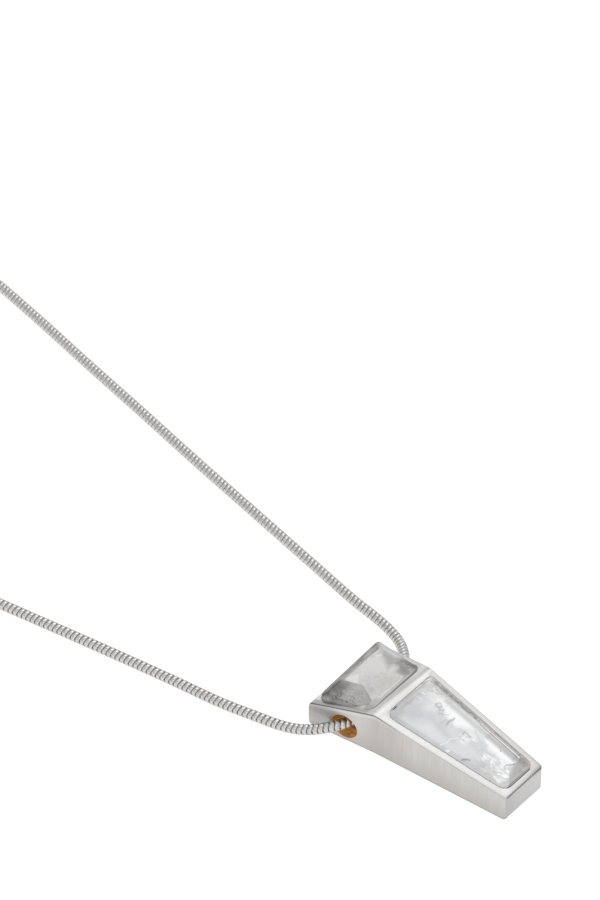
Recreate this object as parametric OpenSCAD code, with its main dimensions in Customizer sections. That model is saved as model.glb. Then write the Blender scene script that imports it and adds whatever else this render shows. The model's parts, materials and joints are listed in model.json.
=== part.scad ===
// Crystal pendant on a round snake chain, lying on its back. Millimetres, +Z up.
// The origin is the middle of the pendant's flat back. +Y runs from the tip to the top end
// and on into the chain's loop, and -X is the near side.

/* [Pendant] */
// Length from the top end to the tip
pendant_l = 42; // [41.8:0.1:42.2]
// Width at the top end
top_w = 19.6; // [19.4:0.1:19.8]
// Width at the ridge
ridge_w = 15.6; // [15.5:0.1:15.9]
// Width at the tip
tip_w = 10.4; // [10.2:0.1:10.8]
// Distance of the ridge from the top end
ridge_back = 13.9; // [13.8:0.1:14.1]
// Thickness at the top end
top_t = 5.1; // [5:0.1:5.2]
// Thickness at the ridge
ridge_t = 9.6; // [9.5:0.1:9.8]
// Thickness at the tip
tip_t = 5.5; // [5.4:0.1:5.8]
// Rounding of the upright corners at the top end
top_corner_r = 0.3; // [0.2:0.1:0.8]
// Rounding of the upright corners at the tip
tip_corner_r = 0.7; // [0.3:0.1:1]
// Rounding along the ridge
ridge_r = 3; // [1:0.5:4]
// How far the top end bows outward between its edges
end_bow = 0.45; // [0.1:0.05:0.5]
// Rounding of the upper edge at the top end
top_edge_r = 0.4; // [0.3:0.1:1]
// Rounding of the upper edge at the tip
tip_edge_r = 0.3; // [0.2:0.1:0.6]
// Rounding of the back's edge at both ends
back_r = 0.6; // [0.3:0.1:1.2]

/* [Chain bore] */
// Diameter of the bore that the chain runs through
bore_d = 5.3; // [5.2:0.1:5.4]
// Height of the bore's axis above the back
bore_z = 3.3; // [3.2:0.05:3.4]
// Distance of the bore's axis from the top end
bore_back = 7.7; // [7.6:0.05:7.8]

/* [Crystal seats] */
// Rim left round the upper seat, at its sides and at the top end
upper_rim = 0.95; // [0.8:0.05:1.1]
// Metal left between the upper seat and the ridge line
upper_bar = 1.5; // [1.4:0.1:1.7]
// Metal left between the ridge line and the lower seat
lower_bar = 1.1; // [1:0.1:1.3]
// Rim on the near side of the lower seat
near_rim = 1.4; // [1.3:0.05:1.5]
// Rim on the far side of the lower seat
far_rim = 1.1; // [1:0.05:1.3]
// Rim at the tip end of the lower seat
tip_rim = 1.2; // [1.1:0.05:1.3]
// Depth of the upper seat below the sloping front
upper_seat = 1; // [0.8:0.05:1]
// Depth of the lower seat below the sloping front
lower_seat = 1.6; // [1.2:0.1:2]
// Rounding of the seats' corners
seat_r = 1.8; // [1.4:0.1:2]
// Rounding of each seat's far corner at its top end, which is sharper
sharp_r = 0.8; // [0.7:0.1:1.8]

/* [Chain and clasp] */
// Diameter of the snake chain
chain_d = 2; // [1.8:0.1:2]
// Diameter of the barrel clasp
clasp_d = 3.2; // [3:0.1:3.2]
// Length of the barrel clasp
clasp_l = 11; // [10.5:0.5:11]

/* [Hidden] */
$fn = 48;
metal = [0.78, 0.77, 0.75];
chain_metal = [0.84, 0.83, 0.81];
clear_quartz = [0.80, 0.80, 0.79, 0.8];
milky_quartz = [0.88, 0.89, 0.90, 0.9];

// Places along the pendant
top_y = pendant_l / 2;
tip_y = -pendant_l / 2;
ridge_y = top_y - ridge_back;
bore_y = top_y - bore_back;

// Clearances: beside a crystal, under it, and round a chain end in the clasp
side_gap = 0.12;
bed_gap = 0.1;
socket_gap = 0.15;

// How far cutting shapes run past the metal
over = 1;
// Steps in a rounded corner of the metal and of a crystal
corner_steps = 6;
crystal_steps = 3;

// Each crystal has a girdle and a flat table: [height at its top end, height at its lower end,
// rise per millimetre towards +X at the top end, and the same at the lower end]
upper_girdle = [6.85, 8.6, 0.075, 0.03];
upper_table = [7.35, 8.85, 0.03, 0.03];
lower_girdle = [9.5, 5.8, 0, 0];
lower_table = [9.85, 6.2, 0, 0];
// Bevel widths from the girdle's corners to the table's, as [across, along],
// for the corners near top, far top, far low and near low
upper_bevel = [[1.2, 1.3], [1.3, 1.6], [0.7, 0.7], [1.3, 0.4]];
lower_bevel = [[0.65, 0.5], [1.6, 0.5], [0.6, 2.6], [0.8, 0.5]];
// Corner rounding of the tables
table_r = 0.9;

// Middle of the clasp, which closes the loop opposite the pendant
clasp_x = 2.2;
clasp_y = 203.6;
socket_depth = 2;
groove_w = 0.8;
groove_depth = 0.25;
clasp_edge = 0.4;

// Route of the chain's middle line, from the clasp down the near strand, through the bore
// and back up the far strand, as [x, y, z]
route = [
    [-1.5, 203.6, 1.6], [-4.5, 203.5, 1.6], [-9.5, 202.6, 1.5], [-15.8, 200.2, 1.25],
    [-25.4, 193.5, 1], [-32.2, 183.5, 1], [-35.8, 171.5, 1], [-36.7, 159, 1],
    [-35.5, 146, 1], [-33, 131, 1], [-30.4, 115.5, 1], [-27.6, 99.5, 1], [-24.6, 82, 1],
    [-21.5, 64, 1], [-18.6, 46, 1], [-16.8, 34, 1], [-15.4, 28, 1], [-14.3, 23.6, 1],
    [-13.3, 20.6, 1.3], [-12.1, 18, 1.95], [-10.6, 15.9, 2.7], [-8.7, 14.1, 3.3],
    [-6.2, 12.8, 3.5], [-3.2, 12.1, 3.5], [0, 11.9, 3.5], [3.2, 12.1, 3.5],
    [6.2, 12.8, 3.5], [8.7, 14.1, 3.3], [10.8, 15.5, 2.9], [12.6, 17.1, 2.4],
    [14.2, 18.9, 1.8], [15.6, 21, 1.25], [16.7, 23.8, 1], [17.4, 27, 1], [18.2, 33, 1],
    [20.6, 46, 1], [23.8, 63, 1], [27, 80, 1], [30.4, 97, 1], [33.9, 115, 1], [37.3, 132, 1],
    [39.9, 147, 1], [41.1, 159, 1], [40.3, 171.5, 1], [36.8, 183.5, 1], [29.8, 193.5, 1],
    [20.2, 200.2, 1.25], [13.9, 202.6, 1.5], [8.9, 203.5, 1.6], [5.9, 203.6, 1.6]
];
// Longest stretch between two rings of the chain, and its sides
ring_step = 7.5;
chain_sides = 8;

function unit(v) = v / norm(v);

// Half width and front height of the metal at y
function half_w(y) = lookup(y, [[tip_y, tip_w / 2], [ridge_y, ridge_w / 2], [top_y, top_w / 2]]);
function front_z(y) = lookup(y, [[tip_y, tip_t], [ridge_y, ridge_t], [top_y, top_t]]);

// Points of the arc of radius r that rounds corner b between its neighbours a and c
function corner_arc(a, b, c, r, steps) =
    let (
        u = unit(a - b), v = unit(c - b), half = acos(u * v) / 2,
        middle = b + unit(u + v) * r / sin(half),
        from = b + u * r / tan(half) - middle, to = b + v * r / tan(half) - middle,
        start = atan2(from.y, from.x), turn = (atan2(to.y, to.x) - start + 540) % 360 - 180
    )
    [for (k = [0:steps]) let (angle = start + turn * k / steps) middle + r * [cos(angle), sin(angle)]];

// Outline with each corner rounded by its own radius. A radius of 0 leaves the corner sharp
function rounded(corners, radii, steps) =
    let (n = len(corners))
    [for (i = [0:n - 1]) each radii[i] == 0 ? [corners[i]]
        : corner_arc(corners[(i + n - 1) % n], corners[i], corners[(i + 1) % n], radii[i], steps)];

function reversed(points) = [for (i = [len(points) - 1:-1:0]) points[i]];

// Four corners of a seat or crystal, near top first and on round by the far side,
// between y_top and y_low and inside the given near and far rims
function window(y_top, y_low, near, far) = [
    [near - half_w(y_top), y_top], [half_w(y_top) - far, y_top],
    [half_w(y_low) - far, y_low], [near - half_w(y_low), y_low]
];

seat_radii = [seat_r, sharp_r, seat_r, seat_r];
upper_top_y = top_y - upper_rim;
upper_low_y = ridge_y + upper_bar;
lower_top_y = ridge_y - lower_bar;
lower_low_y = tip_y + tip_rim;

function upper_window(gap) =
    window(upper_top_y - gap, upper_low_y + gap, upper_rim + gap, upper_rim + gap);
function lower_window(gap) =
    window(lower_top_y - gap, lower_low_y + gap, near_rim + gap, far_rim + gap);

// Side profile of the bowed top end, from the back up to the front
top_end = [for (k = [0:corner_steps]) let (t = 2 * k / corner_steps - 1)
    [top_y - end_bow * t * t, front_z(top_y - end_bow) * (1 + t) / 2]];

// Prism along X whose section is given as [y, z] points
module along_x(section) {
    rotate([90, 0, 90]) linear_extrude(height = 2 * top_w, center = true) polygon(section);
}

// Everything inside a window and above a floor that follows the front, depth below it
module seat(corners, depth) {
    y_top = corners[0].y + over;
    y_low = corners[2].y - over;
    slope = (front_z(corners[0].y) - front_z(corners[2].y)) / (corners[0].y - corners[2].y);
    floor_z = front_z(corners[2].y) - depth;
    intersection() {
        linear_extrude(height = 2 * ridge_t)
            polygon(rounded(corners, seat_radii, corner_steps));
        along_x([
            [y_low, floor_z - over * slope], [y_top, floor_z + (y_top - corners[2].y) * slope],
            [y_top, 2 * ridge_t], [y_low, 2 * ridge_t]
        ]);
    }
}

// The metal before it is cut: the plan outline and the side profile together
module blank() {
    intersection() {
        linear_extrude(height = 2 * ridge_t)
            polygon(rounded(
                [[-top_w / 2, top_y], [top_w / 2, top_y], [ridge_w / 2, ridge_y],
                    [tip_w / 2, tip_y], [-tip_w / 2, tip_y], [-ridge_w / 2, ridge_y]],
                [top_corner_r, top_corner_r, 0, tip_corner_r, tip_corner_r, 0], corner_steps));
        along_x(rounded(
            [each top_end, [ridge_y, ridge_t], [tip_y, tip_t], [tip_y, 0]],
            [back_r, for (k = [2:corner_steps]) 0, top_edge_r, ridge_r, tip_edge_r, back_r], corner_steps));
    }
}

module pendant_body() {
    color(metal) difference() {
        blank();
        seat(upper_window(0), upper_seat);
        seat(lower_window(0), lower_seat);
        translate([0, bore_y, bore_z]) rotate([0, 90, 0])
            cylinder(h = top_w + 2 * over, d = bore_d, center = true);
    }
}

// Closed solid through rings of points, all with as many points, which run anticlockwise
// as seen from the last ring
module loft(rings) {
    n = len(rings[0]);
    last = len(rings) - 1;
    polyhedron(
        points = [for (ring = rings) each ring],
        faces = [
            [for (i = [0:n - 1]) i],
            for (r = [0:last - 1], i = [0:n - 1]) each
                let (a = r * n + i, b = r * n + (i + 1) % n) [[a, a + n, b], [b, a + n, b + n]],
            [for (i = [n - 1:-1:0]) last * n + i]
        ]);
}

// Cut crystal with a flat base, upright girdle, bevels and a table.
// The base lies on the seat's floor, which is depth below the front
module cut_crystal(corners, depth, girdle, table, bevel) {
    y_top = corners[0].y;
    y_low = corners[2].y;
    function height(p, ends) =
        let (t = (p.y - y_low) / (y_top - y_low))
        (ends[0] + ends[2] * p.x) * t + (ends[1] + ends[3] * p.x) * (1 - t);
    inward = [[1, -1], [-1, -1], [-1, 1], [1, 1]];
    table_corners = [for (i = [0:3])
        [corners[i].x + inward[i].x * bevel[i].x, corners[i].y + inward[i].y * bevel[i].y]];
    outline = reversed(rounded(corners, [for (r = seat_radii) r - side_gap], crystal_steps));
    table_outline = reversed(rounded(table_corners, [for (c = corners) table_r], crystal_steps));
    base = [front_z(y_top), front_z(y_low), 0, 0] - [1, 1, 0, 0] * (depth - bed_gap);
    loft([
        [for (p = outline) [p.x, p.y, height(p, base)]],
        [for (p = outline) [p.x, p.y, height(p, girdle)]],
        [for (p = table_outline) [p.x, p.y, height(p, table)]]
    ]);
}

module upper_crystal() {
    color(clear_quartz)
        cut_crystal(upper_window(side_gap), upper_seat, upper_girdle, upper_table, upper_bevel);
}

module lower_crystal() {
    color(milky_quartz)
        cut_crystal(lower_window(side_gap), lower_seat, lower_girdle, lower_table, lower_bevel);
}

// Direction of the route at point i, weighted by the lengths of the spans on both sides
function route_dir(i) =
    let (
        last = len(route) - 1,
        before = route[max(i, 1)] - route[max(i, 1) - 1],
        after = route[min(i, last - 1) + 1] - route[min(i, last - 1)]
    )
    (unit(before) * norm(after) + unit(after) * norm(before)) / (norm(before) + norm(after));

// Point at the share t of span i, and the route's direction there, on a smooth cubic
function span_point(i, t) =
    let (d = norm(route[i + 1] - route[i]), m = route_dir(i) * d, n = route_dir(i + 1) * d)
    route[i] * (2 * pow(t, 3) - 3 * t * t + 1) + m * (pow(t, 3) - 2 * t * t + t)
        + route[i + 1] * (3 * t * t - 2 * pow(t, 3)) + n * (pow(t, 3) - t * t);
function span_dir(i, t) =
    let (d = norm(route[i + 1] - route[i]), m = route_dir(i) * d, n = route_dir(i + 1) * d)
    unit(route[i] * (6 * t * t - 6 * t) + m * (3 * t * t - 4 * t + 1)
        + route[i + 1] * (6 * t - 6 * t * t) + n * (3 * t * t - 2 * t));

// One ring of the chain's surface round point p, square to direction d, with a corner below
function chain_ring(p, d) =
    let (side = unit(cross(d, [0, 0, 1])), up = cross(side, d))
    [for (k = [0:chain_sides - 1]) let (angle = 270 - 360 * k / chain_sides)
        p + chain_d / 2 * (cos(angle) * side + sin(angle) * up)];

module snake_chain() {
    spans = len(route) - 1;
    stops = [
        for (i = [0:spans - 1]) let (steps = ceil(norm(route[i + 1] - route[i]) / ring_step))
            for (k = [0:steps - 1]) [i, k / steps],
        [spans - 1, 1]
    ];
    color(chain_metal) loft([for (s = stops) chain_ring(span_point(s[0], s[1]), span_dir(s[0], s[1]))]);
}

// Plain barrel with a groove round its middle and a blind socket for each chain end
module clasp() {
    half = clasp_l / 2;
    r = clasp_d / 2;
    socket_d = chain_d + 2 * socket_gap;
    color(chain_metal) translate([clasp_x, clasp_y, r]) rotate([0, 90, 0]) difference() {
        rotate_extrude() polygon([
            [0, -half], [r - clasp_edge, -half], [r, clasp_edge - half],
            [r, -groove_w / 2], [r - groove_depth, -groove_w / 2],
            [r - groove_depth, groove_w / 2], [r, groove_w / 2],
            [r, half - clasp_edge], [r - clasp_edge, half], [0, half]
        ]);
        for (end = [-1, 1]) translate([0, 0, end * half])
            cylinder(h = 2 * socket_depth, d = socket_d, center = true);
    }
}

pendant_body();
upper_crystal();
lower_crystal();
snake_chain();
clasp();
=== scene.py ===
import json
import math
import bpy
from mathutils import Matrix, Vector

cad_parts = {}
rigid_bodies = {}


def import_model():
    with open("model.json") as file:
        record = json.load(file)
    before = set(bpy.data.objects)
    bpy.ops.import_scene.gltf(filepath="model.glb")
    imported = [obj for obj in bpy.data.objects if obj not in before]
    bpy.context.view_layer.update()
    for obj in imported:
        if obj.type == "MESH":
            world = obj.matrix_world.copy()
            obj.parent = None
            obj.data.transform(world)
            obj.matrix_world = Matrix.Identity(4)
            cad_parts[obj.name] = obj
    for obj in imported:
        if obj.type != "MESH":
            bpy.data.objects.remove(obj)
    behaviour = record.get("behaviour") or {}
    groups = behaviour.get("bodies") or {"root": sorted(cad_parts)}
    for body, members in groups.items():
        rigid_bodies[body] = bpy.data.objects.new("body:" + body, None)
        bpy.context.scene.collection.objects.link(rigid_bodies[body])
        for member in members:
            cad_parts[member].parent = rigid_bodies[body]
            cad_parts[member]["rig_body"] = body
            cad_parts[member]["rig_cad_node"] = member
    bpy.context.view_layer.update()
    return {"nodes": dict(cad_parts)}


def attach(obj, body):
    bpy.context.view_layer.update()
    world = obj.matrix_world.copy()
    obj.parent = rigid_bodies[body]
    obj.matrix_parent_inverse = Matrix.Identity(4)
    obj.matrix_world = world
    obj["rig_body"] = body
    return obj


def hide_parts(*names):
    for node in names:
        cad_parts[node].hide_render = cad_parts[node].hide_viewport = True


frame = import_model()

mm = 0.001

# the photo's viewing angle: the camera looks along +Y, turned towards +X and tilted down
viewCamera = {
    "turn": -49.371,                  # degrees about Z
    "elevation": 43.762,
    "aim": (43.0 * mm, 68.11 * mm, 0.0),
    "distance": 951.0 * mm,
    "lens": 200.0,
    "sensor": 36.0,
    "clip": (0.01, 20.0),
}


def addCamera(s):
    turn, lift = math.radians(s["turn"]), math.radians(s["elevation"])
    back = Vector((math.sin(turn) * math.cos(lift), -math.cos(turn) * math.cos(lift), math.sin(lift)))
    lens = bpy.data.cameras.new("viewCamera")
    lens.lens = s["lens"]
    lens.sensor_width = s["sensor"]
    lens.clip_start, lens.clip_end = s["clip"]
    made = bpy.data.objects.new("viewCamera", lens)
    made.location = Vector(s["aim"]) + back * s["distance"]
    made.rotation_euler = (math.pi / 2 - lift, 0.0, turn)
    bpy.context.scene.collection.objects.link(made)
    bpy.context.scene.camera = made


addCamera(viewCamera)
print("camera placed")


# shader maths: a wire wraps one socket, and an expression on wires adds its Math nodes
class Wire:
    def __init__(self, tree, socket=None):
        self.tree = tree
        self.socket = socket

    def node(self, kind, settings=None, inputs=None, output=0):
        made = self.tree.nodes.new("ShaderNode" + kind)
        for key, value in (settings or {}).items():
            setattr(made, key, value)
        for key, value in (inputs or {}).items():
            if isinstance(value, Wire):
                self.tree.links.new(value.socket, made.inputs[key])
            else:
                made.inputs[key].default_value = value
        return Wire(self.tree, made.outputs[output])

    def maths(self, operation, *values):
        return self.node("Math", {"operation": operation}, dict(enumerate(values)))

    def __add__(self, other):
        return self.maths("ADD", self, other)

    def __radd__(self, other):
        return self.maths("ADD", other, self)

    def __sub__(self, other):
        return self.maths("SUBTRACT", self, other)

    def __rsub__(self, other):
        return self.maths("SUBTRACT", other, self)

    def __mul__(self, other):
        return self.maths("MULTIPLY", self, other)

    def __rmul__(self, other):
        return self.maths("MULTIPLY", other, self)

    def __pow__(self, other):
        return self.maths("POWER", self, other)

    def __rpow__(self, other):
        return self.maths("POWER", other, self)

    def __abs__(self):
        return self.maths("ABSOLUTE", self)


def startMaterial(name):
    made = bpy.data.materials.new(name)
    made.use_nodes = True
    return made, Wire(made.node_tree), made.node_tree.nodes["Principled BSDF"]


def plug(wire, shader, name):
    wire.tree.links.new(wire.socket, shader.inputs[name])


def step(value, low, high):
    # 0 below low, 1 above high, smooth between
    return value.node("MapRange", {"interpolation_type": "SMOOTHSTEP"},
                      {"Value": value, "From Min": low, "From Max": high})


def band(value, rise, fall):
    # 1 between two soft edges, each given by where it starts and ends
    return step(value, *rise) * (1 - step(value, *fall))


def ramp(value, span, low, high):
    # low before the span, high after it
    return low + (high - low) * step(value, *span)


def blend(mask, a, b):
    # a where the mask is 0, b where it is 1
    return mask.node("Mix", {"data_type": "RGBA"}, {0: mask, 6: a, 7: b}, output=2)


def objectPlace(wire):
    # the place on the piece in millimetres, as a vector and as x, y and z
    place = wire.node("TexCoord", output="Object")
    scaled = wire.node("VectorMath", {"operation": "SCALE"}, {0: place, "Scale": 1 / mm})
    return scaled, *(wire.node("SeparateXYZ", inputs={0: scaled}, output=axis) for axis in "XYZ")


def noise(place, scale, detail=2.0, stretch=(1, 1, 1), rough=0.5, output="Fac"):
    # scale is in features per millimetre
    stretched = place.node("Mapping", inputs={"Vector": place, "Scale": stretch})
    return place.node("TexNoise", inputs={
        "Vector": stretched, "Scale": scale, "Detail": detail, "Roughness": rough}, output=output)


def bumpOf(height, strength, distance):
    return height.node("Bump", inputs={"Height": height, "Strength": strength, "Distance": distance * mm})


# a pair of numbers is where a shade starts and where it is full, and past is the distance beyond the ridge
satinLook = {
    # tones of the metal: beside the brushed metal and the brass, they are painted light and shade: lighter
    # and darker sides, a cooler tip face, the rims and the bar as painted reflections, a darker foot, edge
    # and line, a painted glint, and painted light and glow in the seats and the bore
    "metal": (0.485, 0.468, 0.448, 1), "dull": (0.448, 0.431, 0.414, 1),
    "light": (0.562, 0.546, 0.526, 1), "lightDull": (0.50, 0.483, 0.466, 1),
    "cool": (0.50, 0.498, 0.498, 1), "coolNear": (0.445, 0.44, 0.438, 1),
    "front": (0.445, 0.44, 0.435, 1), "farFront": (0.372, 0.367, 0.362, 1),
    "bar": (0.60, 0.592, 0.58, 1), "farBar": (0.74, 0.73, 0.715, 1),
    "ridge": (0.405, 0.40, 0.395, 1), "farRidge": (0.475, 0.47, 0.46, 1),
    "topFront": (0.625, 0.615, 0.605, 1), "nearTop": (0.44, 0.431, 0.43, 1),
    "foot": (0.43, 0.415, 0.40, 1), "edge": (0.33, 0.31, 0.30, 1),
    "line": (0.03, 0.025, 0.023, 1), "glint": (0.66, 0.65, 0.64, 1),
    "seat": (0.9, 0.89, 0.88, 1), "seatGlow": (0.2, 0.19, 0.18, 1), "lowSeatGlow": (0.29, 0.28, 0.265, 1),
    "brass": (0.85, 0.47, 0.13, 1), "brassDark": (0.66, 0.38, 0.13, 1), "brassGlow": (0.18, 0.085, 0.015, 1),
    # the body's shape in millimetres: the ridge, how its front falls and its plan tapers, and the bore
    "ridgeY": 7.1, "ridgeZ": 9.6, "ridgeRound": 0.32, "topFall": 0.3237, "tipFall": 0.1459,
    "ridgeHalf": 7.8, "topTaper": 0.1439, "tipTaper": 0.0925, "tipEdge": (-20.9, -20.7),
    "boreY": 13.3, "boreZ": 3.3, "boreWall": (2.64, 2.68), "boreLean": 0.3, "boreLow": (1.6, 4.6),
    # the upward part of the normal, on the front and on the edges
    "frontTilt": (0.6, 0.9), "edgeTilt": ((0.08, 0.35), (0.62, 0.88)), "edgeShare": 0.5,
    # brush lines, slow change along the sides and grain
    "lineScale": 5.5, "lineStretch": (1, 1, 0.025), "broadScale": 0.7, "broadStretch": (1, 1, 0.12),
    "grainScale": 12.0, "lineMix": 0.7, "broadMix": 0.3, "brushEdge": (0.36, 0.64),
    "roughness": 0.30, "sideRoughness": 0.1, "lineRoughness": 0.12, "grainRoughness": 0.05,
    "lineBump": 0.12, "grainBump": 0.15, "bumpDepth": 0.02,
    # painted light and shade on the sides: past the ridge, up the side and across the tip
    "darkWall": (-10.0, -1.0), "boreShine": ((-0.5, 4.0), (7.0, 12.0)), "boreShineShare": 0.9,
    "footRise": (0.0, 5.0), "footShare": 0.55, "baseRise": (0.1, 0.6), "baseShare": 0.5,
    "tipAcross": (-5.2, -0.5),
    # painted reflections and shade on the front: the rim round the lower stone, the rim round the upper one,
    # the bar between them
    "farRim": (1.0, 4.0), "tipRim": (-27.0, -26.4), "tipRimAcross": (-4.5, -1.5), "tipRimShare": 0.55,
    "topRim": (0.9, 1.6), "farCorner": (8.6, 9.4), "farCornerShare": 0.6,
    "farAcross": (0.5, 5.5), "nearAcross": (-6.0, -2.0), "ridgeEnd": (6.0, 7.0), "ridgeEndPast": (-0.9, -0.1),
    "ridgeEndShare": 0.6, "ridgeStart": (-1.8, -0.6), "barStart": (0.1, 1.2), "topStart": (1.4, 2.4),
    # the painted dark line of shade, the painted glint below it and the painted light in the seats
    "beside": (-6.0, 1.0), "besideShares": (0.2, 1.0), "lineWidth": (0.08, 0.22), "lineShare": 0.75,
    "tipLineAcross": (2.0, 5.2), "tipLineShares": (0.42, 0.92),
    "glintWidth": (0.0, 0.1), "glintDepth": ((0.2, 0.4), (0.6, 1.0)), "glintShare": 0.5,
    "seatDepth": ((0.06, 0.16), (1.4, 1.5)), "seatInset": (0.7, 0.9),
    "seatAlong": ((-19.7, -19.5), (20.1, 20.3)), "seatChange": (-0.1, 0.1),
    # the gold in the bore, painted lighter on its lower wall, with a painted glow there
    "brassScale": 1.2, "brassEdge": (0.35, 0.65), "brassLeast": 0.3,
    "glowScale": 1.6, "glowEdge": (0.3, 0.7), "boreMetallic": 0.4,
}


def sideColour(s, lines, broad, tip, x, z, past):
    # brushed, with painted light and shade: lighter towards the tip and beside the bore, darker towards the
    # foot and at the base, cooler on the tip's face
    brushed = step(lines * s["lineMix"] + broad * s["broadMix"], *s["brushEdge"])
    wall = blend(step(past, *s["darkWall"]), blend(brushed, s["lightDull"], s["light"]),
                 blend(brushed, s["dull"], s["metal"]))
    wall = blend(band(past, *s["boreShine"]) * s["boreShineShare"], wall, s["light"])
    wall = blend((1 - step(z, *s["footRise"])) * s["footShare"], wall, s["foot"])
    wall = blend(tip, wall, blend(step(x, *s["tipAcross"]), s["coolNear"], s["cool"]))
    return blend((1 - step(z, *s["baseRise"])) * s["baseShare"], wall, s["edge"])


def frontColour(s, x, past, half):
    # the rims round the lower stone and the upper one, and the bar between them, darker below the ridge:
    # their tones are painted reflections, and the dark strips at the tip's rim and the ridge's far end are
    # painted shade
    low = blend(step(x, *s["farRim"]), s["front"], s["farFront"])
    tipRim = (1 - step(past, *s["tipRim"])) * step(x, *s["tipRimAcross"])
    low = blend(tipRim * s["tipRimShare"], low, s["edge"])
    top = blend(step(x + half, *s["topRim"]), s["nearTop"], s["topFront"])
    top = blend(step(x, *s["farCorner"]) * s["farCornerShare"], top, s["nearTop"])
    far = step(x, *s["farAcross"])
    ridge = blend(far, blend(step(x, *s["nearAcross"]), s["front"], s["ridge"]), s["farRidge"])
    ridgeEnd = step(x, *s["ridgeEnd"]) * (1 - step(past, *s["ridgeEndPast"]))
    ridge = blend(ridgeEnd * s["ridgeEndShare"], ridge, s["edge"])
    bar = blend(step(past, *s["barStart"]), ridge, blend(far, s["bar"], s["farBar"]))
    return blend(step(past, *s["topStart"]), blend(step(past, *s["ridgeStart"]), low, bar), top)


def edgeLines(s, plain, edge, tip, x, past, within, below):
    # a painted dark line of shade along the near side's upper edge, strongest beside the upper stone, and a
    # painted glint below it
    beside = ramp(past, s["beside"], *s["besideShares"])
    glint = (1 - step(within, *s["glintWidth"])) * band(below, *s["glintDepth"])
    lined = blend(glint * beside * s["glintShare"], plain, s["glint"])
    line = (1 - step(within.maths("MAXIMUM", within, below), *s["lineWidth"])) * beside * s["lineShare"]
    tipLine = edge * tip * ramp(x, s["tipLineAcross"], *s["tipLineShares"])
    return blend(line.maths("MAXIMUM", line, tipLine), lined, s["line"])


def satinMetal(s):
    made, start, shader = startMaterial("satinMetal")
    place, x, y, z = objectPlace(start)
    facing = start.node("NewGeometry", output="Normal")
    upward = start.node("SeparateXYZ", inputs={0: facing}, output="Z")
    front = step(upward, *s["frontTilt"])
    edge = band(upward, *s["edgeTilt"])
    lines = noise(place, s["lineScale"], detail=3.0, stretch=s["lineStretch"])
    broad = noise(place, s["broadScale"], stretch=s["broadStretch"])
    grain = noise(place, s["grainScale"])
    tip = 1 - step(y, *s["tipEdge"])
    past = y - s["ridgeY"]
    half = s["ridgeHalf"] + past.maths("MAXIMUM", past * s["topTaper"], past * s["tipTaper"])
    fall = past.maths("SMOOTH_MAX", past * s["topFall"], past * -s["tipFall"], s["ridgeRound"])
    below = s["ridgeZ"] - fall - z                                  # how deep below the front
    wall = sideColour(s, lines, broad, tip, x, z, past)
    # the front gets its painted reflections, and the eased edges a painted shade
    plain = blend(edge * s["edgeShare"], blend(front, wall, frontColour(s, x, past, half)), s["edge"])
    lined = edgeLines(s, plain, edge, tip, x, past, x + half, below)
    # inside the seats the walls are painted near white and given a glow, so the gap round a stone stays
    # light: painted light
    inSeat = band(below, *s["seatDepth"]) * step(half - abs(x), *s["seatInset"]) * band(y, *s["seatAlong"])
    lined = blend(inSeat, lined, s["seat"])
    away = ((y - s["boreY"]) ** 2 + (z - s["boreZ"]) ** 2) ** 0.5
    inBore = 1 - step(away, *s["boreWall"])
    # painted light in the bore: the brass is lighter on the lower wall
    lowWall = 1 - step(z + s["boreLean"] * (y - s["boreY"]), *s["boreLow"])
    lit = s["brassLeast"] + (1 - s["brassLeast"]) * lowWall
    brass = blend(step(noise(place, s["brassScale"]), *s["brassEdge"]) * lit, s["brassDark"], s["brass"])
    plug(blend(inBore, lined, brass), shader, "Base Color")
    # a painted glow on the brass low in the bore, and in the seats
    shine = inBore * lowWall * step(noise(place, s["glowScale"]), *s["glowEdge"])
    seatGlow = blend(step(past, *s["seatChange"]), s["lowSeatGlow"], s["seatGlow"])
    plug(blend(inSeat, blend(shine, (0, 0, 0, 1), s["brassGlow"]), seatGlow), shader, "Emission Color")
    shader.inputs["Emission Strength"].default_value = 1.0
    plug(1 - inBore * (1 - s["boreMetallic"]), shader, "Metallic")
    side = 1 - front
    rough = s["roughness"] + side * s["sideRoughness"] + (lines - 0.5) * s["lineRoughness"] * side
    plug(rough + (grain - 0.5) * s["grainRoughness"], shader, "Roughness")
    plug(bumpOf(lines * side + grain * s["grainBump"], s["lineBump"], s["bumpDepth"]), shader, "Normal")
    return made


chainLook = {
    "metal": (0.585, 0.575, 0.56, 1), "tarnish": (0.47, 0.445, 0.42, 1),
    "gap": (0.31, 0.30, 0.29, 1), "farGap": (0.40, 0.39, 0.375, 1),
    "tarnishScale": 2.5, "tarnishEdge": (0.45, 0.8), "roughness": 0.34, "tarnishRoughness": 0.1,
    "grainScale": 9.0, "grainBump": 0.1, "bumpDepth": 0.02,
    "farAcross": (12.0, 17.0), "farAlong": (24.0, 60.0),    # where the far strand's grooves grow paler
    "gapScale": 0.8, "gapEdge": (0.35, 0.65), "gapTarnish": 0.25,
    "gapRoughness": 0.35, "gapRoughnessScale": 1.5, "gapRoughnessChange": 0.2,
}


def chainMetal(s):
    made, start, shader = startMaterial("chainMetal")
    place = objectPlace(start)[0]
    tarnish = step(noise(place, s["tarnishScale"], detail=3.0), *s["tarnishEdge"])
    plug(blend(tarnish, s["metal"], s["tarnish"]), shader, "Base Color")
    shader.inputs["Metallic"].default_value = 1.0
    plug(s["roughness"] + tarnish * s["tarnishRoughness"], shader, "Roughness")
    plug(bumpOf(noise(place, s["grainScale"]), s["grainBump"], s["bumpDepth"]), shader, "Normal")
    return made


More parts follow.
